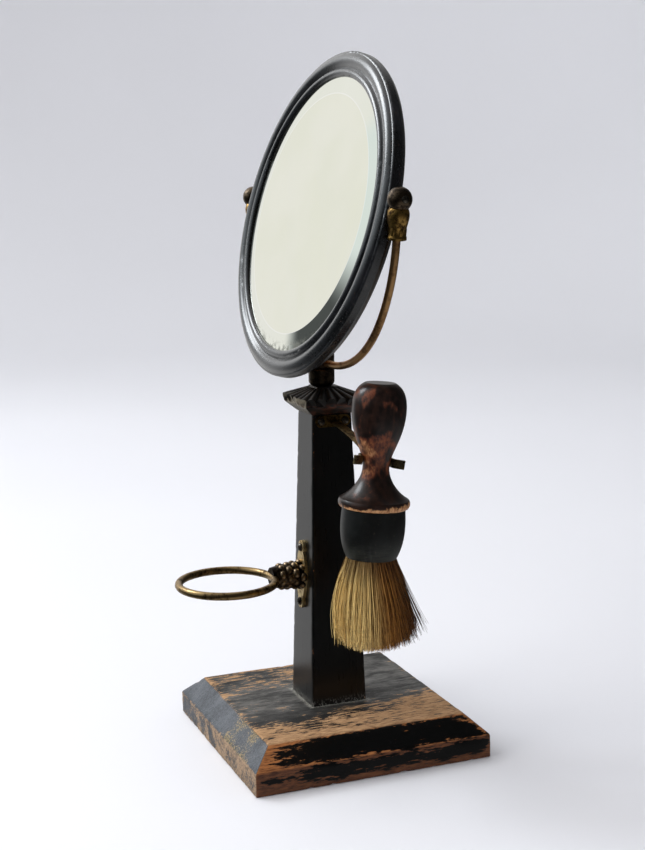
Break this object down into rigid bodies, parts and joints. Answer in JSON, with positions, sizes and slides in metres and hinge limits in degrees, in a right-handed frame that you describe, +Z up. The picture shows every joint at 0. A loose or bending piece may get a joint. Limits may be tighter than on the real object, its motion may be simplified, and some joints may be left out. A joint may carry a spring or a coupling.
{
  "type": "shaving stand",
  "caption": "Wooden shaving stand with a tilting round mirror in a wire yoke, a cup ring and a brush hung in a side fork.",
  "frame": {"origin": "middle of the base's underside, on the post's axis", "axes": "+Z up, -Y towards the side that the mirror faces and the cup ring stands out, +X towards the hanging brush"},
  "size_m": [0.1872, 0.1454, 0.3559],
  "materials": {
    "base_wood": "worn black paint over bare softwood",
    "post_wood": "satin black paint on wood",
    "cap_bronze": "dark cast bronze",
    "hub_bronze": "dark cast bronze",
    "aged_brass": "aged brass",
    "ring_neck_brass": "dark cast brass with bright high spots",
    "ring_brass": "aged brass wire",
    "screw_brass": "dark brass",
    "clip_brass": "dull brass strip",
    "rod_brass": "aged brass wire",
    "socket_brass": "cast brass with dark hollows",
    "ball_bronze": "dark polished bronze",
    "pivot_steel": "darkened steel",
    "steel": "plain steel",
    "frame_wood": "black lacquer on turned wood",
    "silvered_glass": "bevelled silvered glass",
    "card": "plain card",
    "board_wood": "thin unfinished board",
    "handle_wood": "worn dark lacquer over reddish wood",
    "ferrule_enamel": "matte dark grey-green paint",
    "plug_resin": "setting resin",
    "bristle": "golden bristle"
  },
  "bodies": {
    "stand": {"base_block": "base_wood", "base_screw": "steel", "post": "post_wood", "post_cap": "cap_bronze", "cap_pins": "steel", "swivel_collar": "hub_bronze", "ring_backplate": "aged_brass", "ring_neck": "ring_neck_brass", "cup_ring": "ring_brass", "backplate_screws": "screw_brass", "clip_bracket": "clip_brass", "bracket_screws": "screw_brass", "brush_clip": "clip_brass", "clip_rivet": "screw_brass"},
    "yoke": {"yoke_hub": "hub_bronze", "stem_washer": "steel", "rod_clamp_screw": "screw_brass", "yoke_rod": "rod_brass", "left_arm_socket": "socket_brass", "right_arm_socket": "socket_brass", "left_pivot_ball": "ball_bronze", "right_pivot_ball": "ball_bronze"},
    "mirror": {"mirror_frame": "frame_wood", "mirror_glass": "silvered_glass", "mirror_backing": "card", "mirror_backboard": "board_wood", "backboard_brads": "steel", "left_pivot_screw": "pivot_steel", "right_pivot_screw": "pivot_steel", "left_pivot_washer": "steel", "right_pivot_washer": "steel"},
    "brush": {"brush_handle": "handle_wood", "brush_ferrule": "ferrule_enamel", "bristle_plug": "plug_resin", "brush_bristles": "bristle"}
  },
  "joints": [
    {"name": "yoke_swivel", "type": "hinge", "parent": "stand", "child": "yoke", "pos_m": [-0.0005, -0.0012, 0.19], "axis": [0, 0, 1], "continuous": true},
    {"name": "mirror_tilt", "type": "hinge", "parent": "yoke", "child": "mirror", "pos_m": [-0.0005, -0.0012, 0.28374], "axis": [0.9984, 0.0558, 0], "range_deg": [-328, 4]},
    {"name": "brush_pull", "type": "slide", "parent": "stand", "child": "brush", "axis": [1, 0, 0], "range_m": [0, 0.06]}
  ]
}
